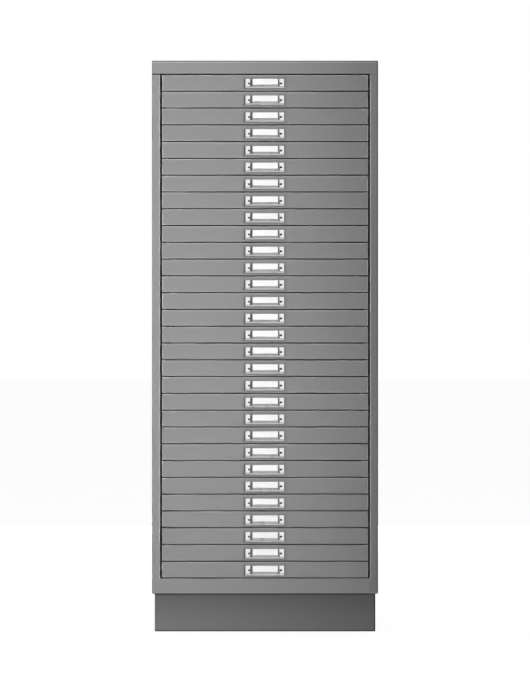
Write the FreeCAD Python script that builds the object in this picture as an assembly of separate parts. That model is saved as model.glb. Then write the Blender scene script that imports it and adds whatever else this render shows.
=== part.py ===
import FreeCAD, Part
import math
import os

V = FreeCAD.Vector
os.makedirs("parts", exist_ok=True)

# A sheet-steel cabinet with one column of shallow drawers, on a recessed plinth.
# Millimetres. X is to the right, the drawers face -Y, Z is up, and the origin is on the floor
# under the middle of the whole object, pulls included.

# Cabinet shell
body_width = 438.0
cabinet_depth = 480.0
side_frame = 16.0
top_band = 25.8
bottom_band = 30.0
shell_sheet = 1.2
back_sheet = 1.0
shell_bend = 2.2
low_corner_bend = 3.2
frame_bend = 1.3
frame_return = 30.0
band_return = 14.0
seat_flange = 12.0
cap_seat = 0.3
floor_upstand = 12.0

# Drawer fronts
drawer_count = 30
front_height = 31.0
front_gap = 1.5
top_gap = 1.8
side_gap = 3.1
front_depth = 12.0
front_sheet = 1.0
front_bend = 1.1

# Drawer trays
tray_sheet = 0.8
tray_inset = 0.5
tray_wall = 24.5
tray_lift = 3.0
rear_space = 25.0
shoe_length = 100.0
shoe_clearance = 1.2

# Runners and the uprights that carry their rear ends
runner_sheet = 1.5
runner_leg = 13.0
ledge_overlap = 7.0
running_gap = 0.3
runner_start = 16.0
runner_end_gap = 1.0
catch_drop = 3.2
catch_side_gap = 1.0
upright_sheet = 1.5
upright_web = 28.0
stop_flange = 14.0
stop_gap = 0.3

# Pull, with the pocket for its label card over a finger hood
pull_width = 79.4
pull_height = 19.4
pull_drop = 1.2
pull_sheet = 0.8
pull_reach = 9.5
hood_height = 4.4
hood_fall = 0.7
hood_bend = 2.0
pocket_width = 50.4
pocket_face = 12.6
pocket_top_depth = 1.8
pocket_bottom_depth = 5.8
pocket_flare = 0.55
window_width = 47.5
card_width = 48.7
card_height = 12.1
card_sheet = 0.3
card_play = 0.05
pocket_lip = 0.35
pocket_rim = 0.5

# Plinth
plinth_height = 76.5
plinth_inset = 4.0
plinth_recess = 40.0
plinth_rear_recess = 12.0
plinth_sheet = 1.5
plinth_bend = 2.2
plinth_flange = 25.0

# Places worked out from the sizes
pitch = front_height + front_gap
front_plane = (pull_reach - cabinet_depth) / 2
back_plane = front_plane + cabinet_depth
body_half = body_width / 2
skin_half = body_half - shell_sheet
opening_half = body_half - side_frame
front_half = opening_half - side_gap
tray_half = front_half - tray_inset
tray_depth = cabinet_depth - front_depth - rear_space
body_bottom = plinth_height
opening_bottom = body_bottom + bottom_band
first_front = opening_bottom + front_gap
opening_top = first_front + drawer_count * pitch - front_gap + top_gap
body_top = opening_top + top_band
side_top = opening_top - cap_seat
ledge_top = tray_lift - running_gap
ledge_bottom = ledge_top - runner_sheet
shoe_top = pitch + ledge_bottom - shoe_clearance
tray_back = front_plane + front_depth + tray_depth
stop_face = tray_back + stop_gap
runner_front = front_plane + runner_start
runner_rear = stop_face - runner_end_gap
travel = tray_back - shoe_length - runner_front - runner_sheet


def box(x0, x1, y0, y1, z0, z1):
    return Part.makeBox(x1 - x0, y1 - y0, z1 - z0, V(x0, y0, z0))


def mirrored(shape):
    return shape.mirror(V(0, 0, 0), V(1, 0, 0))


# A flat outline through corners (u, v, radius), pushed into a solid. place gives a corner its point
# in space.
def extruded(corners, place, along):
    starts = []
    ends = []
    arcs = []
    for i in range(len(corners)):
        u, v, radius = corners[i]
        corner = place(u, v)
        back = place(*corners[i - 1][:2]) - corner
        ahead = place(*corners[(i + 1) % len(corners)][:2]) - corner
        if radius <= 0:
            starts.append(corner)
            ends.append(corner)
            arcs.append(None)
            continue
        back.normalize()
        ahead.normalize()
        half = back.getAngle(ahead) / 2
        reach = radius / math.tan(half)
        middle = back + ahead
        middle.normalize()
        start = corner + back * reach
        end = corner + ahead * reach
        crown = corner + middle * (radius / math.sin(half) - radius)
        starts.append(start)
        ends.append(end)
        arcs.append(Part.Arc(start, crown, end).toShape())
    edges = []
    for i in range(len(corners)):
        if arcs[i] is not None:
            edges.append(arcs[i])
        edges.append(Part.LineSegment(ends[i], starts[(i + 1) % len(corners)]).toShape())
    return Part.Face(Part.Wire(edges)).extrude(along)


# The corners of a folded sheet's section. The sheet lies to the left of its path of (u, v, bend),
# where bend is the radius outside a fold.
def folded(path, sheet):
    near = []
    far = []
    for i in range(len(path)):
        u, v, bend = path[i]
        before = path[max(i - 1, 0)]
        after = path[min(i + 1, len(path) - 1)]
        came = V(u - before[0], v - before[1], 0)
        goes = V(after[0] - u, after[1] - v, 0)
        if i == 0:
            came = goes
        if i == len(path) - 1:
            goes = came
        came.normalize()
        goes.normalize()
        side_a = V(-came.y, came.x, 0)
        side_b = V(-goes.y, goes.x, 0)
        shift = (side_a + side_b) * (sheet / (1 + side_a.dot(side_b)))
        turns_left = came.x * goes.y - came.y * goes.x > 0
        near.append((u, v, bend if turns_left else 0))
        far.append((u + shift.x, v + shift.y, 0 if turns_left else bend))
    return near + far[::-1]


def edges_at(shape, tests):
    found = []
    for edge in shape.Edges:
        bounds = edge.BoundBox
        for axis_values in tests:
            spans = {
                "x": (bounds.XMin, bounds.XMax),
                "y": (bounds.YMin, bounds.YMax),
                "z": (bounds.ZMin, bounds.ZMax),
            }
            if all(abs(end - value) < 1e-6 for axis, value in axis_values.items() for end in spans[axis]):
                found.append(edge)
    return found


# What a rounding of the frame's edge beside the drawers takes away. It ends at the bottom rail,
# which is flush with the frame.
def frame_rounding():
    corner = box(
        opening_half,
        opening_half + frame_bend,
        front_plane,
        front_plane + frame_bend,
        opening_bottom,
        side_top,
    )
    middle = V(opening_half + frame_bend, front_plane + frame_bend, opening_bottom)
    return corner.cut(Part.makeCylinder(frame_bend, side_top - opening_bottom, middle))


# Right side: an outer skin, a front frame folded back beside the drawers, and inward flanges
# at the bottom, the top and the back.
def side_panel():
    rear = back_plane - back_sheet
    block = box(opening_half, body_half, front_plane, rear, body_bottom, side_top)
    block = block.makeFillet(low_corner_bend, edges_at(block, [{"x": body_half, "z": body_bottom}]))
    outer = edges_at(
        block,
        [{"x": body_half, "y": front_plane}, {"y": front_plane, "z": body_bottom}],
    )
    block = block.makeFillet(shell_bend, outer).cut(frame_rounding())
    hollow = box(
        opening_half + shell_sheet,
        skin_half,
        front_plane + shell_sheet,
        rear - shell_sheet,
        body_bottom + shell_sheet,
        side_top - shell_sheet,
    )
    low_corner = edges_at(hollow, [{"x": skin_half, "z": body_bottom + shell_sheet}])
    hollow = hollow.makeFillet(low_corner_bend - shell_sheet, low_corner)
    inside = box(
        opening_half, body_half - seat_flange, front_plane + frame_return, rear, body_bottom, side_top
    )
    return block.cut(hollow).cut(inside)


# The cap: a pan turned upside down on both sides and the back, with a return over the drawers.
def top_panel():
    block = box(-body_half, body_half, front_plane, back_plane, opening_top, body_top)
    outer = edges_at(
        block,
        [
            {"x": body_half, "z": body_top},
            {"x": -body_half, "z": body_top},
            {"y": front_plane, "z": body_top},
            {"y": back_plane, "z": body_top},
            {"x": body_half, "y": front_plane},
            {"x": -body_half, "y": front_plane},
        ],
    )
    block = block.makeFillet(shell_bend, outer)
    behind_band = box(
        -skin_half,
        skin_half,
        front_plane + shell_sheet,
        back_plane - shell_sheet,
        opening_top + shell_sheet,
        body_top - shell_sheet,
    )
    open_bottom = box(
        -skin_half,
        skin_half,
        front_plane + band_return,
        back_plane - shell_sheet,
        opening_top,
        opening_top + shell_sheet,
    )
    return block.cut(behind_band.fuse(open_bottom))


def bottom_rail():
    path = [
        (front_plane + band_return, opening_bottom, 0),
        (front_plane, opening_bottom, frame_bend),
        (front_plane, body_bottom, shell_bend),
        (front_plane + frame_return + seat_flange, body_bottom, 0),
    ]
    section = folded(path, shell_sheet)
    return extruded(section, lambda u, v: V(-opening_half, u, v), V(2 * opening_half, 0, 0))


# The floor pan, on the flanges of both sides and of the bottom rail, clear of the round corners.
def base_panel():
    half = body_half - low_corner_bend
    front = front_plane + frame_return
    rear = back_plane - back_sheet - shell_sheet
    bottom = body_bottom + shell_sheet
    top = bottom + floor_upstand
    pan = box(-half, half, front, rear, bottom, top)
    hollow = box(
        -half + shell_sheet, half - shell_sheet, front + shell_sheet, rear - shell_sheet,
        bottom + shell_sheet, top,
    )
    return pan.cut(hollow)


def back_panel():
    sheet = box(-body_half, body_half, back_plane - back_sheet, back_plane, body_bottom, side_top)
    low_corners = edges_at(sheet, [{"x": side * body_half, "z": body_bottom} for side in (-1, 1)])
    return sheet.makeFillet(low_corner_bend, low_corners)


# Right rear upright: a channel that carries the runners' rear ends, and a strip welded behind it
# that stops the drawers as they close.
def rear_upright():
    path = [
        (skin_half, stop_face, 0),
        (opening_half, stop_face, 0),
        (opening_half, stop_face - upright_web, 0),
        (skin_half, stop_face - upright_web, 0),
        (skin_half, stop_face - upright_web + seat_flange, 0),
    ]
    bottom = body_bottom + shell_sheet + floor_upstand
    top = side_top - shell_sheet
    section = folded(path, upright_sheet)
    channel = extruded(section, lambda u, v: V(u, v, bottom), V(0, 0, top - bottom))
    inner = opening_half - stop_flange
    strip = box(inner, skin_half, stop_face, stop_face + upright_sheet, bottom, top)
    return [channel, strip]


# One right runner: a ledge under the tray's edge, a leg that guides the drawer below, and a catch
# turned down at the front, which the shoes of the drawer below meet.
def runner(level):
    ledge_inner = tray_half - ledge_overlap
    top = level + runner_sheet
    angle = extruded(
        [
            (ledge_inner, top, 0),
            (ledge_inner, level, 0),
            (opening_half - runner_sheet, level, 0),
            (opening_half - runner_sheet, top - runner_leg, 0),
            (opening_half, top - runner_leg, 0),
            (opening_half, top, 0),
        ],
        lambda u, v: V(u, runner_front, v),
        V(0, runner_rear - runner_front, 0),
    )
    catch_outer = opening_half - runner_sheet - catch_side_gap
    catch = box(
        ledge_inner, catch_outer, runner_front, runner_front + runner_sheet, level - catch_drop, level
    )
    return angle.fuse(catch).removeSplitter()


def runners():
    levels = [first_front + i * pitch + ledge_bottom for i in range(drawer_count + 1)]
    return [runner(level) for level in levels]


# The folded front of a drawer, open at the back.
def front_pan():
    block = box(-front_half, front_half, front_plane, front_plane + front_depth, 0, front_height)
    rim = edges_at(
        block,
        [
            {"y": front_plane, "z": 0},
            {"y": front_plane, "z": front_height},
            {"x": front_half, "y": front_plane},
            {"x": -front_half, "y": front_plane},
        ],
    )
    block = block.makeFillet(front_bend, rim)
    hollow = box(
        -front_half + front_sheet,
        front_half - front_sheet,
        front_plane + front_sheet,
        front_plane + front_depth,
        front_sheet,
        front_height - front_sheet,
    )
    return block.cut(hollow)


# The folded tray. Its sides step up at the rear into shoes, which keep the drawer level under the
# runner above and meet the catch when the drawer is out.
def tray():
    front = front_plane + front_depth
    inner_half = tray_half - tray_sheet
    block = box(-tray_half, tray_half, front, tray_back, tray_lift, shoe_top)
    hollow = box(
        -inner_half,
        inner_half,
        front + tray_sheet,
        tray_back - tray_sheet,
        tray_lift + tray_sheet,
        shoe_top,
    )
    wall_top = tray_lift + tray_wall
    lowered = box(-tray_half, tray_half, front + tray_sheet, tray_back - shoe_length, wall_top, shoe_top)
    front_top = front_height - front_sheet
    over_front = box(-tray_half, tray_half, front, front + tray_sheet, front_top, shoe_top)
    return block.cut(hollow).cut(lowered).cut(over_front)


# The sloping face of the pocket: where its lower edge is, and its lean away from upright.
pocket_low = pull_height / 2 - pocket_face
pocket_front = front_plane - pull_sheet - pocket_bottom_depth
pocket_lean = math.atan((pocket_bottom_depth - pocket_top_depth) / pocket_face)
pocket_slope = pocket_face / math.cos(pocket_lean)


# Places a shape made upright, with its face at y = 0 and its foot at z = 0, on the pocket's slope.
def on_slope(shape):
    shape.rotate(V(0, 0, 0), V(1, 0, 0), -math.degrees(pocket_lean))
    shape.translate(V(0, pocket_front, pocket_low))
    return shape


# The pull is pressed from one sheet: a plate, a finger hood along its lower edge, and a wedge-shaped
# pocket whose flared sides carry a slot for the card. Its middle is at z = 0.
def pull():
    plate_front = front_plane - pull_sheet
    nose = front_plane - pull_reach
    hood_top = hood_height - pull_height / 2
    hood_root = hood_top + hood_fall
    path = [
        (plate_front, pull_height / 2, 0),
        (plate_front, hood_root, 0),
        (nose, hood_top, hood_bend),
        (nose, -pull_height / 2, 0),
    ]
    section = folded(path, pull_sheet)
    plate = extruded(section, lambda u, v: V(-pull_width / 2, u, v), V(pull_width, 0, 0))
    wedge_section = [
        (plate_front, pull_height / 2, 0),
        (plate_front - pocket_top_depth, pull_height / 2, 0),
        (plate_front - pocket_bottom_depth, pocket_low, 0),
        (plate_front, hood_root, 0),
    ]
    wedge = extruded(wedge_section, lambda u, v: V(-pull_width / 2, u, v), V(pull_width, 0, 0))
    depth = 2 * pocket_bottom_depth
    half = pocket_width / 2
    flared = half + pocket_flare * depth
    sides = extruded(
        [(-half, 0, 0), (half, 0, 0), (flared, depth, 0), (-flared, depth, 0)],
        lambda u, v: V(u, v, -pull_height),
        V(0, 0, 3 * pull_height),
    )
    pocket = wedge.common(on_slope(sides))
    window = box(-window_width / 2, window_width / 2, 0, pocket_lip, pocket_rim, 2 * pocket_slope)
    slot_half = card_width / 2 + card_play
    slot_depth = card_sheet + 2 * card_play
    slot = box(-slot_half, slot_half, pocket_lip, pocket_lip + slot_depth, pocket_rim, 2 * pocket_slope)
    return plate.fuse(pocket).cut(on_slope(window.fuse(slot))).removeSplitter()


def label_card():
    back = pocket_lip + card_play
    foot = pocket_rim + card_play
    return on_slope(box(-card_width / 2, card_width / 2, back, back + card_sheet, foot, foot + card_height))


# Right plinth rail: a channel whose flanges stop behind those of the front and rear rails.
def plinth_side():
    outer = body_half - plinth_inset
    front = front_plane + plinth_recess
    rear = back_plane - plinth_rear_recess
    path = [
        (outer - plinth_flange, 0, 0),
        (outer, 0, plinth_bend),
        (outer, plinth_height, plinth_bend),
        (outer - plinth_flange, plinth_height, 0),
    ]
    section = folded(path, plinth_sheet)
    rail = extruded(section, lambda u, v: V(u, front, v), V(0, rear - front, 0))
    web_inner = outer - plinth_sheet
    notch = box(outer - plinth_flange, web_inner, 0, plinth_flange, 0, plinth_height)
    at_front = notch.translated(V(0, front, 0))
    at_rear = notch.translated(V(0, rear - plinth_flange, 0))
    return rail.cut(at_front).cut(at_rear)


# Front plinth rail, between the side rails. The rear one is the same, turned about.
def plinth_front():
    half = body_half - plinth_inset - plinth_sheet
    front = front_plane + plinth_recess
    path = [
        (front + plinth_flange, plinth_height, 0),
        (front, plinth_height, plinth_bend),
        (front, 0, plinth_bend),
        (front + plinth_flange, 0, 0),
    ]
    section = folded(path, plinth_sheet)
    return extruded(section, lambda u, v: V(-half, u, v), V(2 * half, 0, 0))


def plinth_rear():
    front = front_plane + plinth_recess
    rear = back_plane - plinth_rear_recess
    return plinth_front().mirror(V(0, (front + rear) / 2, 0), V(0, 1, 0))


def export(name, solids):
    shape = solids[0]
    if len(solids) > 1:
        shape = Part.makeCompound(solids)
    shape.exportStep("parts/" + name + ".step")


right_side = side_panel()
export("right_side_panel", [right_side])
export("left_side_panel", [mirrored(right_side)])
export("top_panel", [top_panel()])
export("bottom_rail", [bottom_rail()])
export("base_panel", [base_panel()])
export("back_panel", [back_panel()])
right_post = rear_upright()
export("right_rear_upright", right_post)
export("left_rear_upright", [mirrored(one) for one in right_post])
right_runners = runners()
export("right_runners", right_runners)
export("left_runners", [mirrored(one) for one in right_runners])
right_rail = plinth_side()
export("plinth_right", [right_rail])
export("plinth_left", [mirrored(right_rail)])
export("plinth_front", [plinth_front()])
export("plinth_rear", [plinth_rear()])

# Drawers are numbered from the top.
pull_level = front_height / 2 - pull_drop
fitted = [piece.translated(V(0, 0, pull_level)) for piece in (pull(), label_card())]
drawer = [tray(), front_pan()] + fitted
for number in range(1, drawer_count + 1):
    level = first_front + (drawer_count - number) * pitch
    export("drawer_%02d" % number, [piece.translated(V(0, 0, level)) for piece in drawer])

print("height %.1f, drawer travel %.1f" % (body_top, travel))
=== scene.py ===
import math

import bmesh
import bpy
from mathutils import Matrix, Vector


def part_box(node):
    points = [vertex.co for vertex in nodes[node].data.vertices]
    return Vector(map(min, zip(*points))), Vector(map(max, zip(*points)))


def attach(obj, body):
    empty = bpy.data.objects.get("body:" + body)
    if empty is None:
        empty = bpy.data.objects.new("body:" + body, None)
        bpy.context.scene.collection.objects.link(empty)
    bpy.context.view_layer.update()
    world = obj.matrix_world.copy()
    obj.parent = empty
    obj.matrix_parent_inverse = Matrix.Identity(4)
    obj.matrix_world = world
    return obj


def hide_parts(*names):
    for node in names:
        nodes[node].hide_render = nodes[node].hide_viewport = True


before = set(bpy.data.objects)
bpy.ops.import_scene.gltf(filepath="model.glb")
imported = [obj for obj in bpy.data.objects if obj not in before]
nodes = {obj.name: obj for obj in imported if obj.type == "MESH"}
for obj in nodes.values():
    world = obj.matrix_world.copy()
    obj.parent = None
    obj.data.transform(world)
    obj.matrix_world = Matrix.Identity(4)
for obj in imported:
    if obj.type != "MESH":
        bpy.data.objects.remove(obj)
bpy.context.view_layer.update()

mm = 0.001
drawers = sorted(name for name in nodes if name.startswith("drawer_"))

# lines of the cabinet that the paint's joints and worn places are measured from
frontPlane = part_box("left_side_panel")[0].y  # the face of every drawer front and of the shell's frame
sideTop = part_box("left_side_panel")[1].z
outerEdge, backPlane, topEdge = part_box("top_panel")[1]
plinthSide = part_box("plinth_front")[1].x
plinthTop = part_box("plinth_front")[1].z
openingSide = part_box("bottom_rail")[1].x
gapMiddle = (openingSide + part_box(drawers[0])[1].x) / 2  # between the drawers and the frame
# the opening ends one gap under the lowest drawer's foot, and a front's height and a gap over the top one's
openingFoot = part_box(drawers[-1])[0].z - 1.5 * mm
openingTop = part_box(drawers[0])[0].z + 32.8 * mm
print("frame loaded:", len(nodes), "nodes,", len(drawers), "drawers")


# Node helpers

def addNode(tree, kind, **values):
    node = tree.nodes.new(kind)
    for key, value in values.items():
        setattr(node, key, value)
    return node


def plug(tree, socket, value):
    # a value is a plain one or another node's output
    if isinstance(value, bpy.types.NodeSocket):
        tree.links.new(value, socket)
    else:
        socket.default_value = value


def feed(tree, node, **inputs):
    # spaces in a socket's name are written as _
    for name, value in inputs.items():
        plug(tree, node.inputs[name.replace("_", " ")], value)
    return node


def maths(tree, operation, a, b=0.0):
    node = addNode(tree, "ShaderNodeMath", operation=operation)
    plug(tree, node.inputs[0], a)
    plug(tree, node.inputs[1], b)
    return node.outputs[0]


def product(tree, first, *others):
    for other in others:
        first = maths(tree, "MULTIPLY", first, other)
    return first


def strongest(tree, first, *others):
    for other in others:
        first = maths(tree, "MAXIMUM", first, other)
    return first


def distance(tree, value, middle):
    return maths(tree, "ABSOLUTE", maths(tree, "SUBTRACT", value, middle))


def ramp(tree, value, low, high, toLow=0.0, toHigh=1.0):
    # low may be the larger of the two, and then the ramp falls
    node = addNode(tree, "ShaderNodeMapRange", interpolation_type="SMOOTHSTEP")
    feed(tree, node, Value=value, From_Min=low, From_Max=high, To_Min=toLow, To_Max=toHigh)
    return node.outputs[0]


def mixColours(tree, factor, a, b, blend="MIX"):
    # the node has sockets for every kind of data, and those of the colours are 0, 6 and 7, with output 2
    node = addNode(tree, "ShaderNodeMix", data_type="RGBA", blend_type=blend)
    for index, value in ((0, factor), (6, a), (7, b)):
        plug(tree, node.inputs[index], value)
    return node.outputs[2]


def noise(tree, vector, scale, detail=2.0, roughness=0.5):
    node = addNode(tree, "ShaderNodeTexNoise")
    feed(tree, node, Vector=vector, Scale=scale, Detail=detail, Roughness=roughness)
    return node.outputs["Fac"]


def evenNoise(tree, vector, scale, detail):
    # noise round zero
    return maths(tree, "SUBTRACT", noise(tree, vector, scale, detail), 0.5)


def bumpNormal(tree, height, depth, strength=1.0):
    bump = addNode(tree, "ShaderNodeBump")
    return feed(tree, bump, Strength=strength, Distance=depth, Height=height).outputs[0]


def grey(level):
    return (level, level, level, 1.0)


def axes(tree, kind):
    # the X, Y and Z of one of the texture coordinates
    parts = addNode(tree, "ShaderNodeSeparateXYZ")
    tree.links.new(addNode(tree, "ShaderNodeTexCoord").outputs[kind], parts.inputs[0])
    return parts.outputs


def shiftedPlace(tree):
    # the piece's own coordinates, moved a little for each piece, so that no two drawers have the same grain
    place = addNode(tree, "ShaderNodeTexCoord").outputs["Object"]
    random = addNode(tree, "ShaderNodeObjectInfo").outputs["Random"]
    reach = maths(tree, "MULTIPLY", random, 3.7)
    shift = feed(tree, addNode(tree, "ShaderNodeCombineXYZ"), X=reach, Y=reach, Z=reach)
    total = addNode(tree, "ShaderNodeVectorMath", operation="ADD")
    plug(tree, total.inputs[0], place)
    plug(tree, total.inputs[1], shift.outputs[0])
    return total.outputs[0]


def newGroup(name, inputs):
    # every shared effect puts out a colour, a roughness and a normal
    tree = bpy.data.node_groups.new(name, "ShaderNodeTree")
    for label, kind, value in inputs:
        socket = tree.interface.new_socket(label, in_out="INPUT", socket_type=kind)
        socket.default_value = value
    for label, kind in (
        ("Colour", "NodeSocketColor"), ("Roughness", "NodeSocketFloat"), ("Normal", "NodeSocketVector"),
    ):
        tree.interface.new_socket(label, in_out="OUTPUT", socket_type=kind)
    return tree, addNode(tree, "NodeGroupInput").outputs, addNode(tree, "NodeGroupOutput").inputs


# Powder coat: sprayed and baked paint with clouds, orange peel and dust, with painted highlights on bends and
# along edges, painted light on the right side and the plinth, painted shade inside, under the body and on
# outer edges, an open dark joint, and a painted shadow round the pull

coat = {
    # clouds, and the height from which the right side is painted paler, as painted light
    "broad": 3.5, "fine": 260.0, "fineShare": 0.25, "upperLightFrom": 0.7,
    # painted highlights on bends: the grey they turn to, and how much of it from above to below and from
    # right to left
    "highlightGrey": 0.8, "underHighlight": (0.95, 0.45), "leftHighlight": (1.0, 2.4), "stripShare": 0.42,
    # dust and the plinth's painted foot light, then how dark the painted shade on outer edges and the painted
    # shadow round the pull are
    "patches": 14.0, "dustAndFootGrey": 0.5, "footLight": 0.14, "dustRough": 0.8,
    "edgeShade": 0.75, "pullShadow": 0.19, "pullShadowEnd": 0.6,
    # gloss and orange peel
    "rough": 0.42, "smears": 9.0, "smearShare": 0.08, "peels": (900.0, 350.0), "widePeel": 1.5,
}
# the painted shadow lies round a pull of this size, in a drawer's own heights
pullShadowRound = {"centre": 14.1 * mm, "halfHeight": 9.2 * mm, "halfWidth": 38.9 * mm}


def paintedBendHighlights(tree, across, normal, facing):
    # a painted highlight on the first half of each bend, where the surface starts to turn away from the front
    bend = product(
        tree, ramp(tree, facing, 0.998, 0.96), ramp(tree, facing, 0.55, 0.75),
        ramp(tree, across, outerEdge - 2.5 * mm, outerEdge - 3.5 * mm),
    )
    under = ramp(tree, normal["Z"], 0.6, -0.6, *coat["underHighlight"])
    aside = ramp(tree, normal["X"], 0.1, -0.3, *coat["leftHighlight"])
    return product(tree, bend, under, aside)


def paintedHighlightStrips(tree, at, across, facing, ahead):
    # painted highlight: a thin strip on both sides of each upright gap, one under the top edge and one at the
    # left edge
    fromGap = distance(tree, across, gapMiddle)
    underTop = distance(tree, at["Z"], topEdge - 3.4 * mm)
    # a drawer's own heights are all lower than the plinth, so these levels touch the shell only
    soft = 0.6 * mm
    level = strongest(
        tree, maths(tree, "LESS_THAN", at["Z"], plinthTop - 10 * mm),
        ramp(tree, at["Z"], openingFoot - soft, openingFoot + soft),
    )
    level = product(tree, level, ramp(tree, at["Z"], openingTop + soft, openingTop - soft))
    strip = strongest(
        tree, product(tree, ramp(tree, fromGap, 3.8 * mm, 2.8 * mm), level),
        ramp(tree, underTop, 1.4 * mm, 0.7 * mm),
        ramp(tree, at["X"], 2.8 * mm - outerEdge, 2.0 * mm - outerEdge),
    )
    return product(tree, strip, ahead, ramp(tree, facing, 0.6, 0.85))


def insideShadeMask(tree, at, across):
    # the faces inside the shell and behind the drawer fronts, where shade is painted in
    deep = ramp(tree, at["Y"], frontPlane + 0.2 * mm, frontPlane + 0.7 * mm)
    notBack = ramp(tree, at["Y"], backPlane - 1.25 * mm, backPlane - 2.25 * mm)
    between = ramp(tree, across, outerEdge - 10.5 * mm, outerEdge - 12.5 * mm)
    below = ramp(tree, at["Z"], topEdge - 2.1 * mm, topEdge - 4.1 * mm)
    return product(tree, deep, notBack, between, below)


def capJointAndPlinthShade(tree, at):
    # the cap's joint at the left is open and dark; over and under the top of the plinth, the shade under the
    # body is painted as a dark line
    capLine = ramp(tree, distance(tree, at["Z"], sideTop - 0.3 * mm), 1.2 * mm, 0.8 * mm)
    capJoint = product(tree, capLine, ramp(tree, at["X"], openingSide + 0.4 * mm, openingSide))
    plinthShadeLine = distance(tree, at["Z"], plinthTop - 1.6 * mm)
    return strongest(tree, capJoint, ramp(tree, plinthShadeLine, 3.0 * mm, 2.2 * mm))


def paintedEdgeShade(tree, at, ahead, standing):
    # painted shade on the outermost edges at the right and along the top and on the plinth's right corner,
    # and a darker line along the floor
    rim = strongest(
        tree, ramp(tree, at["X"], outerEdge - 2.6 * mm, outerEdge - 1.9 * mm),
        ramp(tree, at["Z"], topEdge - 2.2 * mm, topEdge - 1.4 * mm),
    )
    corner = product(
        tree, ramp(tree, at["X"], plinthSide - 1.6 * mm, plinthSide - 1.1 * mm),
        maths(tree, "LESS_THAN", at["Z"], plinthTop),
    )
    floorLine = product(tree, ramp(tree, at["Z"], 3.6 * mm, 2.0 * mm), standing)
    return strongest(tree, product(tree, rim, ahead), corner, floorLine)


def paintedPullShadow(tree, at, across):
    # painted shadow round the pull, most of it along its left end
    upright = distance(tree, at["Z"], pullShadowRound["centre"])
    aboveOrBelow = maths(tree, "SUBTRACT", upright, pullShadowRound["halfHeight"])
    fromPull = strongest(tree, maths(tree, "SUBTRACT", across, pullShadowRound["halfWidth"]), aboveOrBelow)
    leftEnd = product(
        tree, ramp(tree, fromPull, 2.1 * mm, 1.5 * mm), ramp(tree, at["X"], -38.0 * mm, -38.6 * mm),
        ramp(tree, aboveOrBelow, 0.6 * mm, -0.2 * mm, 0.0, coat["pullShadowEnd"]),
    )
    return strongest(tree, ramp(tree, fromPull, 6.0 * mm, 0.0, 0.0, coat["pullShadow"]), leftEnd)


def makePowderGroup():
    tree, given, out = newGroup(
        "powderCoat",
        [
            ("Paint", "NodeSocketColor", grey(0.25)),
            ("Cloud", "NodeSocketFloat", 0.05),
            ("Upper Light", "NodeSocketFloat", 0.0),
            ("Bend Light", "NodeSocketFloat", 0.4),
            ("Dust", "NodeSocketFloat", 0.15),
            ("Foot", "NodeSocketFloat", 0.0),
            ("Inner Coat", "NodeSocketFloat", 1.0),
            ("Pull Shade", "NodeSocketFloat", 0.0),
            ("Peel Height", "NodeSocketFloat", 0.02 * mm),
        ],
    )
    place = shiftedPlace(tree)
    at = axes(tree, "Object")
    normal = axes(tree, "Normal")
    across = maths(tree, "ABSOLUTE", at["X"])
    facing = maths(tree, "ABSOLUTE", normal["Y"])
    ahead = ramp(tree, at["Y"], frontPlane + 3 * mm, frontPlane + 2 * mm)

    # the plain coat, cloudy, and on the right side painted paler towards the top as painted light
    fine = product(tree, noise(tree, place, coat["fine"]), coat["fineShare"])
    cloud = maths(tree, "ADD", evenNoise(tree, place, coat["broad"], 3.0), fine)
    clouded = maths(tree, "ADD", product(tree, cloud, given["Cloud"]), 1.0)
    upper = product(tree, ramp(tree, at["Z"], coat["upperLightFrom"], openingTop), given["Upper Light"])
    tinted = mixColours(tree, 1.0, given["Paint"], maths(tree, "ADD", clouded, upper), "MULTIPLY")

    # painted highlights on bends and in strips by the edges
    lift = product(tree, paintedBendHighlights(tree, across, normal, facing), given["Bend Light"])
    highlightStrip = paintedHighlightStrips(tree, at, across, facing, ahead)
    stripHighlight = product(tree, highlightStrip, given["Bend Light"], coat["stripShare"])
    highlighted = mixColours(tree, strongest(tree, lift, stripHighlight), tinted, grey(coat["highlightGrey"]))

    # dust on level tops, and the plinth painted lighter towards its foot, a painted light against the shade
    # under the body
    top = ramp(tree, normal["Z"], 0.6, 1.0)
    patch = ramp(tree, noise(tree, place, coat["patches"], 5.0, 0.6), 0.4, 0.75)
    dust = product(tree, top, patch, given["Dust"])
    foot = product(tree, ramp(tree, at["Z"], plinthTop, 0.0), given["Foot"], coat["footLight"])
    dustedAndFootLit = mixColours(tree, strongest(tree, dust, foot), highlighted, grey(coat["dustAndFootGrey"]))

    # dark places: painted shade inside, an open joint, painted shade under the body and on outer edges, a
    # darkened floor line and painted shadow round the pull
    insideShade = product(tree, insideShadeMask(tree, at, across), maths(tree, "SUBTRACT", 1.0, given["Inner Coat"]))
    shadedEdges = product(tree, paintedEdgeShade(tree, at, ahead, given["Foot"]), coat["edgeShade"])
    pullShadow = product(tree, paintedPullShadow(tree, at, across), given["Pull Shade"])
    dark = strongest(tree, insideShade, capJointAndPlinthShade(tree, at), shadedEdges, pullShadow)
    plug(tree, out["Colour"], mixColours(tree, dark, dustedAndFootLit, grey(0.0)))

    smear = evenNoise(tree, place, coat["smears"], 4.0)
    sheen = maths(tree, "ADD", product(tree, smear, coat["smearShare"]), coat["rough"])
    plug(tree, out["Roughness"], maths(tree, "ADD", sheen, product(tree, dust, coat["dustRough"])))
    close, wide = (noise(tree, place, scale, 1.0) for scale in coat["peels"])
    peel = maths(tree, "ADD", close, product(tree, wide, coat["widePeel"]))
    plug(tree, out["Normal"], bumpNormal(tree, peel, given["Peel Height"]))
    return tree


# Rolled or plated sheet: fine lines along one way, cloudy plating, and painted shade and dark reflection as a
# darker, rougher metal on faces that look sideways or down

rolled = {
    "lines": 1.0, "clouds": 45.0, "underShade": 0.35, "roughChange": 0.12, "shadedRough": 0.2,
    "lineHeight": 0.004 * mm,
}


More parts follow.
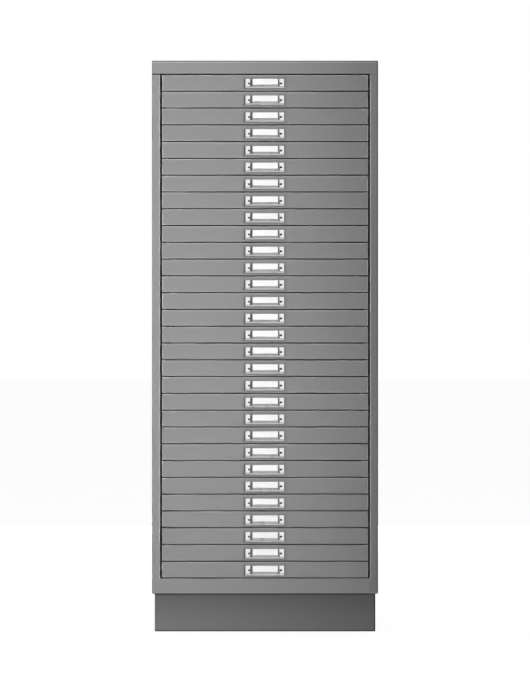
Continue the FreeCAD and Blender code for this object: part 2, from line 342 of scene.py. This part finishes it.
def makeRolledGroup():
    tree, given, out = newGroup(
        "rolledMetal",
        [
            ("Metal", "NodeSocketColor", grey(0.8)),
            ("Drawn Metal", "NodeSocketColor", grey(0.2)),
            ("Line Scale", "NodeSocketVector", (40.0, 900.0, 900.0)),
            ("Line Depth", "NodeSocketFloat", 0.06),
            ("Roughness", "NodeSocketFloat", 0.25),
            ("Front Grease", "NodeSocketFloat", 0.0),
        ],
    )
    place = shiftedPlace(tree)
    stretch = addNode(tree, "ShaderNodeVectorMath", operation="MULTIPLY")
    plug(tree, stretch.inputs[0], place)
    plug(tree, stretch.inputs[1], given["Line Scale"])
    lines = noise(tree, stretch.outputs[0], rolled["lines"], 3.0, 0.6)
    cloud = evenNoise(tree, place, rolled["clouds"], 3.0)
    change = maths(tree, "ADD", maths(tree, "SUBTRACT", lines, 0.5), cloud)
    level = maths(tree, "ADD", product(tree, change, given["Line Depth"]), 1.0)
    plain = mixColours(tree, 1.0, given["Metal"], level, "MULTIPLY")

    # painted shade and dark reflection: a darker metal on the faces that look sideways or down, which are
    # also rougher
    normal = axes(tree, "Normal")
    sideways = ramp(tree, maths(tree, "ABSOLUTE", normal["X"]), 0.1, 0.5)
    shadedFaces = strongest(tree, sideways, ramp(tree, normal["Z"], -0.2, -0.5, 0.0, rolled["underShade"]))
    shadedMetalColour = mixColours(tree, shadedFaces, plain, given["Drawn Metal"])

    # painted shade on the ends that come up behind the drawer fronts
    behind = ramp(tree, axes(tree, "Object")["Y"], frontPlane + 45 * mm, frontPlane + 25 * mm)
    frontShade = product(tree, behind, given["Front Grease"])
    plug(tree, out["Colour"], mixColours(tree, frontShade, shadedMetalColour, grey(0.0)))

    spread = maths(tree, "ADD", given["Roughness"], product(tree, change, rolled["roughChange"]))
    plug(tree, out["Roughness"], maths(tree, "ADD", spread, product(tree, shadedFaces, rolled["shadedRough"])))
    plug(tree, out["Normal"], bumpNormal(tree, lines, rolled["lineHeight"]))
    return tree


# Materials

def blankMaterial(name):
    made = bpy.data.materials.new(name)
    made.use_nodes = True
    return made, made.node_tree, made.node_tree.nodes["Principled BSDF"]


def newMaterial(name, group, settings, **fixed):
    # the shared effect feeds the shader, and the even values sit on the shader's own sockets
    made, tree, shader = blankMaterial(name)
    effect = feed(tree, addNode(tree, "ShaderNodeGroup", node_tree=group), **settings).outputs
    fixed.update(Base_Color=effect["Colour"], Roughness=effect["Roughness"], Normal=effect["Normal"])
    feed(tree, shader, **fixed)
    return made


powderGroup = makePowderGroup()
rolledGroup = makeRolledGroup()
# the right side's paint is a darker copy of the shell's, a painted shade
paint = {"shell": 0.235, "right": 0.207, "front": 0.235, "plinth": 0.117, "specular": 0.3}


def newPaint(name, level, **settings):
    settings = dict(Paint=grey(level), **settings)
    return newMaterial(name, powderGroup, settings, Specular_IOR_Level=paint["specular"])


def newMetal(name, level, shadedLevel, metallic=1.0, **settings):
    settings = dict(Metal=grey(level), Drawn_Metal=grey(shadedLevel), **settings)
    return newMaterial(name, rolledGroup, settings, Metallic=metallic)


# per paint: how much of its colour stays under the painted shade inside, and how strong its painted bend
# highlights are
shellPaint = newPaint("shellPaint", paint["shell"], Inner_Coat=0.1)
# the right side: darker paint as painted shade, stronger painted bend highlights and painted light towards
# the top
shadedRightPaint = newPaint("shadedRightPaint", paint["right"], Inner_Coat=0.2, Bend_Light=1.15, Upper_Light=0.14)
frontPaint = newPaint("frontPaint", paint["front"], Inner_Coat=0.15, Bend_Light=0.7, Pull_Shade=1.0)
trayPaint = newPaint("trayPaint", paint["front"])
# the plinth is painted lighter towards its foot and darkened along the floor line
plinthPaint = newPaint("plinthPaint", paint["plinth"], Cloud=0.08, Dust=0.3, Foot=1.0)
# the runners get painted shade on their ends behind the drawer fronts
zincSteel = newMetal("zincSteel", 0.55, 0.45, Roughness=0.35, Line_Depth=0.15, Front_Grease=0.8)
# each metal's second level is its darker metal of the painted shade on faces that look sideways or down
nickelPlate = newMetal("nickelPlate", 0.88, 0.28, Roughness=0.22)
rivetSteel = newMetal("rivetSteel", 0.012, 0.01, 0.9, Roughness=0.55)


def makeCardPaper():
    made, tree, shader = blankMaterial("cardPaper")
    fibre = noise(tree, shiftedPlace(tree), 1800.0, 4.0, 0.7)
    level = maths(tree, "ADD", product(tree, maths(tree, "SUBTRACT", fibre, 0.5), 0.04), 0.92)
    tone = feed(tree, addNode(tree, "ShaderNodeCombineColor"), Red=level, Green=level, Blue=level)
    fibreNormal = bumpNormal(tree, fibre, 0.03 * mm, 0.6)
    feed(tree, shader, Base_Color=tone.outputs[0], Roughness=0.75, Normal=fibreNormal)
    return made


cardPaper = makeCardPaper()
print("materials made")


# Mesh helpers

def finishMesh(bm, name, material, smooth=35.0):
    bmesh.ops.remove_doubles(bm, verts=bm.verts, dist=1e-6)
    bmesh.ops.recalc_face_normals(bm, faces=bm.faces)
    mesh = bpy.data.meshes.new(name)
    bm.to_mesh(mesh)
    bm.free()
    for polygon in mesh.polygons:
        polygon.use_smooth = True
    mesh.set_sharp_from_angle(angle=math.radians(smooth))
    mesh.materials.append(material)
    return mesh


def joinRings(bm, rings):
    # faces from each ring of points to the next one
    rows = [[bm.verts.new(point) for point in ring] for ring in rings]
    for lower, upper in zip(rows, rows[1:]):
        for i in range(len(lower)):
            j = (i + 1) % len(lower)
            bm.faces.new((lower[i], lower[j], upper[j], upper[i]))
    return rows


def fillRings(bm, rings):
    # the same, with both ends closed
    rows = joinRings(bm, rings)
    bm.faces.new(rows[0][::-1])
    bm.faces.new(rows[-1])


def onCircle(centre, radius, degrees):
    angle = math.radians(degrees)
    return (centre[0] + radius * math.cos(angle), centre[1] + radius * math.sin(angle))


def arcPoints(centre, radius, start, end, steps):
    return [onCircle(centre, radius, start + (end - start) * k / steps) for k in range(steps + 1)]


def roundedRing(halfU, halfV, radius, steps):
    # a rectangle with round corners, anticlockwise, always with the same number of points
    points = []
    for signU, signV, start in ((1, 1, 0), (-1, 1, 90), (-1, -1, 180), (1, -1, 270)):
        centre = (signU * (halfU - radius), signV * (halfV - radius))
        points += arcPoints(centre, radius, start, start + 90, steps)
    return points


def panRings(halfU, halfV, corner, steps, profile, place):
    # profile is a list of (inset, depth); each gives one ring of the pan
    rings = []
    for inset, depth in profile:
        outline = roundedRing(halfU - inset, halfV - inset, max(corner - inset, 0.0), steps)
        rings.append([place(u, v, depth) for u, v in outline])
    return rings


def sheetStrip(bm, corners, thickness, steps, low, high):
    # a folded strip that stands upright: corners are (x, y, bend radius at mid sheet), ends have no radius
    line = []
    for i, (x, y, radius) in enumerate(corners):
        here = Vector((x, y))
        if not radius:
            line.append(here)
            continue
        back = (Vector(corners[i - 1][:2]) - here).normalized()
        ahead = (Vector(corners[i + 1][:2]) - here).normalized()
        half = back.angle(ahead) / 2
        middle = here + (back + ahead).normalized() * (radius / math.sin(half))
        start = here + back * (radius / math.tan(half)) - middle
        turn = start.angle_signed(here + ahead * (radius / math.tan(half)) - middle)
        for k in range(steps + 1):
            line.append(middle + Matrix.Rotation(-turn * k / steps, 2) @ start)
    left, right = [], []
    for i, here in enumerate(line):
        before = line[max(i - 1, 0)]
        after = line[min(i + 1, len(line) - 1)]
        came = (here - before).normalized() if i else (after - here).normalized()
        goes = (after - here).normalized() if i < len(line) - 1 else came
        side = Vector((-came.y - goes.y, came.x + goes.x)).normalized()
        reach = thickness / 2 / max(side.dot(Vector((-came.y, came.x))), 0.3)
        left.append(here + side * reach)
        right.append(here - side * reach)
    outline = left + right[::-1]
    fillRings(bm, [[(p.x, p.y, z) for p in outline] for z in (low, high)])


def revolve(bm, profile, steps, place):
    # profile is (radius, height) from the rim to the crown
    rings = []
    for radius, height in profile:
        circle = [onCircle((0, 0), radius, 360 * k / steps) for k in range(steps)]
        rings.append([place(u, v, height) for u, v in circle])
    fillRings(bm, rings)


def bevel(piece, width, angle):
    made = piece.modifiers.new("rounding", "BEVEL")
    made.width = width
    made.segments = 2
    made.limit_method = "ANGLE"
    made.angle_limit = math.radians(angle)


# Drawer fronts: folded pans; slit and slack are how much lower and narrower they are at each side

front = {
    "height": 31.0 * mm, "slit": 0.37 * mm, "slack": 0.38 * mm,
    "depth": 12 * mm, "sheet": 1.0 * mm, "bend": 1.1 * mm, "steps": 5,
}


def makeFront(halfWidth):
    bend, sheet = front["bend"], front["sheet"]
    half = front["height"] / 2

    def folded(radius):
        return [(bend - u, bend - v) for u, v in arcPoints((0, 0), radius, 0, 90, front["steps"])]

    skin = [(0.0, front["depth"]), (0.0, bend)] + folded(bend)
    lining = [(sheet, front["depth"]), (sheet, bend)] + folded(bend - sheet)
    bm = bmesh.new()
    fillRings(bm, panRings(
        halfWidth, half - front["slit"], bend, front["steps"], skin[::-1] + lining,
        lambda u, v, d: (u, frontPlane + d, half + v),
    ))
    return finishMesh(bm, "drawerFront", frontPaint)


# Trays: a pan with hemmed walls, and a raised collar at the rear whose ends are the shoes

tray = {
    "sheet": 0.8 * mm, "lift": 3.0 * mm, "wall": 24.5 * mm, "inset": 0.5 * mm, "bend": 1.4 * mm, "steps": 4,
    "corner": 2.5 * mm, "cornerSteps": 3, "hem": 5.0 * mm, "hemSteps": 6, "hemBulge": 0.3 * mm,
    "shoe": 100 * mm, "shoeTop": 32.5 * mm, "shoeBend": 1.5 * mm,
}


def makeTray(halfWidth, rear):
    sheet, bend, steps, hem = tray["sheet"], tray["bend"], tray["steps"], tray["hem"]
    ahead = frontPlane + front["depth"]
    halfLength = (rear - ahead) / 2
    middle = (rear + ahead) / 2
    hemFoot = tray["wall"] - hem
    outside = [(bend - u, bend - v) for u, v in arcPoints((0, 0), bend, 90, 0, steps)]
    over = [
        (sheet - u, tray["wall"] - sheet + v) for u, v in arcPoints((0, 0), sheet, 0, 180, tray["hemSteps"])
    ]
    under = [(2 * sheet, hemFoot), (1.5 * sheet, hemFoot - tray["hemBulge"]), (sheet, hemFoot)]
    inside = [(bend - u, bend - v) for u, v in arcPoints((0, 0), bend - sheet, 0, 90, steps)]
    bm = bmesh.new()
    fillRings(bm, panRings(
        halfWidth, halfLength, tray["corner"], tray["cornerSteps"], outside + over + under + inside,
        lambda u, v, d: (u, middle + v, tray["lift"] + d),
    ))
    side, end, bent = halfWidth - 2 * sheet, rear - 2 * sheet, tray["shoeBend"]
    start = rear - tray["shoe"]
    collar = [(-side, start, 0), (-side, end, bent), (side, end, bent), (side, start, 0)]
    collarFoot = tray["lift"] + hemFoot
    sheetStrip(bm, collar, sheet, steps, collarFoot, tray["shoeTop"])
    return finishMesh(bm, "drawerTray", trayPaint)


# Pulls: one pressing with a plate, a card pocket and a finger hood

pull = {
    # the plate, across from edge to edge, and its rolled edges
    "leftEdge": -39.4 * mm, "leftFlat": -37.5 * mm, "rightFlat": 36.8 * mm, "rightEdge": 38.2 * mm,
    "height": 18.4 * mm, "centre": 14.1 * mm, "plate": 1.9 * mm, "edgeDepth": 0.25 * mm, "sheet": 0.8 * mm,
    # the pocket: its sides, the feet of its flared ends, its leaning face and the rim round the card
    "left": -24.3 * mm, "right": 25.3 * mm, "leftFoot": 4.0 * mm, "rightFoot": 2.2 * mm, "flare": 0.25,
    "face": 11.9 * mm, "topDepth": 1.5 * mm, "lowDepth": 4.7 * mm,
    "lip": 0.35 * mm, "rim": 0.6 * mm, "recess": 0.7 * mm, "step": 0.12 * mm,
    # the hood under it
    "waist": 1.7 * mm, "reach": 9.5 * mm, "hood": 3.2 * mm, "hoodFall": 0.7 * mm, "hoodShare": 0.975,
    "nose": 1.6 * mm, "noseSteps": (5, 4), "tuck": 1.5 * mm,
    "rounding": 0.25 * mm, "roundedFrom": 28, "sharpFrom": 25.0,
}


def pullSection(x, zone):
    # one section, from the top of the pull's face round to its back; zone says where on the pull it is
    top, bottom = pull["height"] / 2, -pull["height"] / 2
    low = top - pull["face"]
    rimTop = low + pull["rim"]
    hoodTop = bottom + pull["hood"]
    root = hoodTop + pull["hoodFall"]
    plate = pull["edgeDepth"] if zone == "edge" else pull["plate"]

    def wedge(z):
        return pull["topDepth"] + (pull["lowDepth"] - pull["topDepth"]) * (top - z) / pull["face"]

    points = []
    for z, deep in ((top, True), (rimTop + pull["step"], True), (rimTop, False), (low, False)):
        if zone in ("edge", "flat"):
            points.append((x, plate, z))
        elif zone == "root":
            spread = pull["flare"] * wedge(z)
            foot = pull["rightFoot"] + spread if x > 0 else -pull["leftFoot"] - spread
            points.append((x + foot, plate, z))
        elif zone == "window" and deep:
            points.append((x, plate + wedge(z) - pull["recess"], z))
        else:
            points.append((x, plate + wedge(z), z))
    footX = points[-1][0]
    points.append((footX, plate if zone in ("edge", "flat", "root") else plate + pull["waist"], root))
    nose, reach, sheet = pull["nose"], pull["reach"], pull["sheet"]
    noseCentre = (reach - nose, hoodTop - nose)
    outerSteps, innerSteps = pull["noseSteps"]
    hoodX = footX * pull["hoodShare"] if zone == "edge" else footX
    points += [(hoodX, d, z) for d, z in arcPoints(noseCentre, nose, 90, 0, outerSteps)]
    points.append((hoodX, reach - pull["tuck"], bottom))
    points.append((hoodX, reach - pull["tuck"] - sheet, bottom))
    points += [(hoodX, d, z) for d, z in arcPoints(noseCentre, nose - sheet, 0, 90, innerSteps)]
    points += [(footX, 0.0, root - sheet), (footX, 0.0, low)]
    points.append((points[0][0] if zone == "root" else footX, 0.0, top))
    return [(px, frontPlane - d, pull["centre"] + z) for px, d, z in points]


def makePull():
    left, right, lip, step = pull["left"], pull["right"], pull["lip"], pull["step"]
    across = [
        (pull["leftEdge"], "edge"), (pull["leftFlat"], "flat"), (left, "root"), (left, "face"),
        (left + lip - step, "face"), (left + lip, "window"), (0.0, "window"), (right - lip, "window"),
        (right - lip + step, "face"), (right, "face"), (right, "root"),
        (pull["rightFlat"], "flat"), (pull["rightEdge"], "edge"),
    ]
    bm = bmesh.new()
    fillRings(bm, [pullSection(x, zone) for x, zone in across])
    return finishMesh(bm, "drawerPull", nickelPlate, pull["sharpFrom"])


# Label cards, blank, standing in the pockets and slightly bowed

card = {
    "centre": 0.5 * mm, "width": 48.4 * mm, "height": 11.5 * mm, "thick": 0.3 * mm, "behind": 0.35 * mm,
    "bow": 0.1 * mm, "edge": 0.06 * mm, "columns": 12,
}


def makeCard():
    lean = math.atan((pull["lowDepth"] - pull["topDepth"]) / pull["face"])
    low = pull["height"] / 2 - pull["face"]
    turn = Matrix.Rotation(-lean, 4, "X")
    foot = Vector((0, frontPlane - pull["plate"] - pull["lowDepth"], pull["centre"] + low))
    middle = card["height"] / 2 + pull["rim"] / 2

    def place(u, v, d):
        bow = card["bow"] * (1 - (2 * u / card["width"]) ** 2)
        return foot + turn @ Vector((card["centre"] + u, card["behind"] - bow + d, middle + v))

    edge, thick, columns = card["edge"], card["thick"], card["columns"]
    rings = []
    for inset, depth in ((edge, 0.0), (0.0, edge), (0.0, thick - edge), (edge, thick)):
        halfU, halfV = card["width"] / 2 - inset, card["height"] / 2 - inset
        steps = [-halfU + 2 * halfU * k / columns for k in range(columns + 1)]
        outline = [(u, -halfV) for u in steps] + [(u, halfV) for u in reversed(steps)]
        rings.append([place(u, v, depth) for u, v in outline])
    bm = bmesh.new()
    rows = joinRings(bm, rings)
    last = len(rows[0]) - 1
    for row in (rows[0], rows[-1]):
        for k in range(columns):
            bm.faces.new((row[k], row[k + 1], row[last - 1 - k], row[last - k]))
    return finishMesh(bm, "labelCard", cardPaper)


# Rivets that hold the pulls, with domed heads; places are (across, radius)

rivet = {
    "places": ((-31.2 * mm, 1.8 * mm), (30.9 * mm, 2.2 * mm)), "height": 14.3 * mm,
    "rise": 0.7 * mm, "rim": 0.1 * mm, "sunk": 0.05 * mm, "dome": (0, 20, 40, 58, 74, 86), "steps": 20,
}


def makeRivets():
    bm = bmesh.new()
    base = frontPlane - pull["plate"] + rivet["sunk"]
    for x, radius in rivet["places"]:
        profile = [(radius, 0.0)]
        for degrees in rivet["dome"]:
            angle = math.radians(degrees)
            profile.append((radius * math.cos(angle), rivet["rim"] + rivet["rise"] * math.sin(angle)))
        revolve(bm, profile, rivet["steps"], lambda u, v, h: (x + u, base - h, rivet["height"] + v))
    return finishMesh(bm, "pullRivets", rivetSteel)


def dressDrawers():
    # the meshes are made once, in a drawer's own heights, and every drawer shares them
    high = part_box(drawers[0])[1]
    meshes = {
        "front": (makeFront(high.x - front["slack"]), "drawer_paint"),
        "tray": (makeTray(high.x - tray["inset"], high.y), "drawer_paint"),
        "pull": (makePull(), "pull_nickel"),
        "card": (makeCard(), "label_card"),
        "rivets": (makeRivets(), "rivet_steel"),
    }
    for name in drawers:
        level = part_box(name)[0].z
        number = name.split("_")[1]
        for part, (mesh, slotName) in meshes.items():
            piece = bpy.data.objects.new(part + "_" + number, mesh)
            bpy.context.scene.collection.objects.link(piece)
            piece.location.z = level
            if part == "pull":
                bevel(piece, pull["rounding"], pull["roundedFrom"])
            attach(piece, name)
            if part == "front":
                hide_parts(name)


dressDrawers()
print("drawers dressed:", len(drawers))


# Carried-over nodes

def dressShell():
    # the right side panel takes the darker paint of the painted shade
    finishes = {"right_side_panel": shadedRightPaint, "left_runners": zincSteel, "right_runners": zincSteel}
    for name, node in nodes.items():
        if name in drawers:
            continue
        finish = plinthPaint if name.startswith("plinth_") else finishes.get(name, shellPaint)
        for slot in node.material_slots:
            slot.material = finish


dressShell()
print("shell finished")


# Floor and world: white where the camera sees them, and a white room with dark ends in the bright metal

room = {
    "floorHalf": 40.0, "floorGrey": 0.78, "seenGrey": 0.2, "seenGlow": 0.94,
    # the floor in the metal: between which two places it changes, and how bright it is at them
    "mirroredFloor": (-0.3, -1.4, 0.8, 1.0),
    # the walls in the metal: the levels of the dark ends, and where each of them starts to turn white
    "ambient": 0.17, "dark": 0.25, "behind": 0.03,
    "leftEnd": (-0.85, -0.55), "rightEnd": (0.97, 0.82), "overhead": (0.9, 0.6), "rear": (0.2, -0.3),
}


def chooseShader(tree, factor, a, b):
    node = addNode(tree, "ShaderNodeMixShader")
    for socket, value in zip(node.inputs, (factor, a, b)):
        plug(tree, socket, value)
    return node.outputs[0]


def makeFloor():
    bm = bmesh.new()
    bmesh.ops.create_grid(bm, x_segments=1, y_segments=1, size=room["floorHalf"])
    mesh = bpy.data.meshes.new("studioFloor")
    bm.to_mesh(mesh)
    bm.free()
    made = bpy.data.materials.new("studioFloor")
    made.use_nodes = True
    tree = made.node_tree
    tree.nodes.clear()
    ray = addNode(tree, "ShaderNodeLightPath").outputs
    shade = feed(tree, addNode(tree, "ShaderNodeBsdfDiffuse"), Color=grey(room["floorGrey"]))
    pale = feed(tree, addNode(tree, "ShaderNodeBsdfDiffuse"), Color=grey(room["seenGrey"]))
    glow = feed(tree, addNode(tree, "ShaderNodeEmission"), Color=grey(1.0), Strength=room["seenGlow"])
    both = addNode(tree, "ShaderNodeAddShader")
    plug(tree, both.inputs[0], pale.outputs[0])
    plug(tree, both.inputs[1], glow.outputs[0])
    seen = chooseShader(tree, ray["Is Camera Ray"], shade.outputs[0], both.outputs[0])
    # in the bright metal the floor is white far away and greyer near the plinth
    mirrored = addNode(tree, "ShaderNodeEmission")
    feed(tree, mirrored, Strength=ramp(tree, axes(tree, "Object")["Y"], *room["mirroredFloor"]))
    output = addNode(tree, "ShaderNodeOutputMaterial")
    feed(tree, output, Surface=chooseShader(tree, ray["Is Glossy Ray"], seen, mirrored.outputs[0]))
    mesh.materials.append(made)
    floor = bpy.data.objects.new("studioFloor", mesh)
    bpy.context.scene.collection.objects.link(floor)


def makeWorld():
    world = bpy.data.worlds.new("studio")
    bpy.context.scene.world = world
    world.use_nodes = True
    tree = world.node_tree
    tree.nodes.clear()
    ray = addNode(tree, "ShaderNodeLightPath").outputs
    seen = strongest(tree, ray["Is Camera Ray"], ray["Is Transmission Ray"])
    way = axes(tree, "Generated")
    ends = product(
        tree, ramp(tree, way["X"], *room["leftEnd"], room["dark"]),
        ramp(tree, way["X"], *room["rightEnd"], room["dark"]),
        ramp(tree, way["Z"], *room["overhead"], room["dark"]),
        ramp(tree, way["Y"], *room["rear"], room["behind"]),
    )
    mirrored = product(tree, ends, ray["Is Glossy Ray"])
    strength = strongest(tree, seen, mirrored, room["ambient"])
    back = feed(tree, addNode(tree, "ShaderNodeBackground"), Color=grey(1.0), Strength=strength)
    feed(tree, addNode(tree, "ShaderNodeOutputWorld"), Surface=back.outputs[0])


# Lamps

lamps = {
    # place, size across and up, what it looks at, watts, width of its beam in degrees
    "rightBeam": ((0.9, -1.85, 0.55), (0.1, 2.6), (-0.30, -0.235, 0.62), 7.3, 38.0),
    "lowBeam": ((0.9, -1.85, 0.12), (0.1, 0.2), (-0.30, -0.235, -0.15), 0.55, 38.0),
    "frontFill": ((0.0, -3.2, 0.7), (1.6, 1.6), (0.0, 0.0, 0.5), 9.0, 180.0),
    "topFill": ((0.0, 0.3, 3.2), (1.6, 1.6), (0.0, 0.1, 0.5), 7.0, 180.0),
    "leftFill": ((-3.0, 0.9, 1.0), (1.2, 1.8), (0.0, 0.1, 0.5), 12.0, 180.0),
    "rightFill": ((3.0, 0.9, 1.0), (1.2, 1.8), (0.0, 0.1, 0.5), 9.0, 180.0),
    "rearFill": ((0.0, 3.2, 0.8), (1.8, 1.8), (0.0, 0.2, 0.5), 55.0, 180.0),
}


def addLamp(name, place, size, target, watts, beam):
    data = bpy.data.lights.new(name, "AREA")
    data.shape = "RECTANGLE"
    data.size, data.size_y = size
    data.energy = watts
    data.spread = math.radians(beam)
    lamp = bpy.data.objects.new(name, data)
    lamp.location = place
    lamp.rotation_euler = (Vector(target) - Vector(place)).to_track_quat("-Z", "Y").to_euler()
    lamp.visible_camera = False
    lamp.visible_glossy = False
    bpy.context.scene.collection.objects.link(lamp)


# Camera: level and straight on, far enough back that the cabinet's sides stay out of sight

view = {
    "distance": 6.0, "height": 0.5623, "pixel": 1.9363 * mm, "across": 530, "sensor": 36.0, "farthest": 100.0,
}


def addCamera():
    data = bpy.data.cameras.new("camera")
    data.sensor_fit = "HORIZONTAL"
    data.sensor_width = view["sensor"]
    data.lens = view["sensor"] * view["distance"] / (view["across"] * view["pixel"])
    data.clip_end = view["farthest"]
    camera = bpy.data.objects.new("camera", data)
    camera.location = (0.0, frontPlane - view["distance"], view["height"])
    camera.rotation_euler = (math.pi / 2, 0.0, 0.0)
    bpy.context.scene.collection.objects.link(camera)
    bpy.context.scene.camera = camera


makeFloor()
makeWorld()
for lampName, lampValues in lamps.items():
    addLamp(lampName, *lampValues)
bpy.context.scene.view_settings.view_transform = "Standard"
addCamera()
print("studio set")
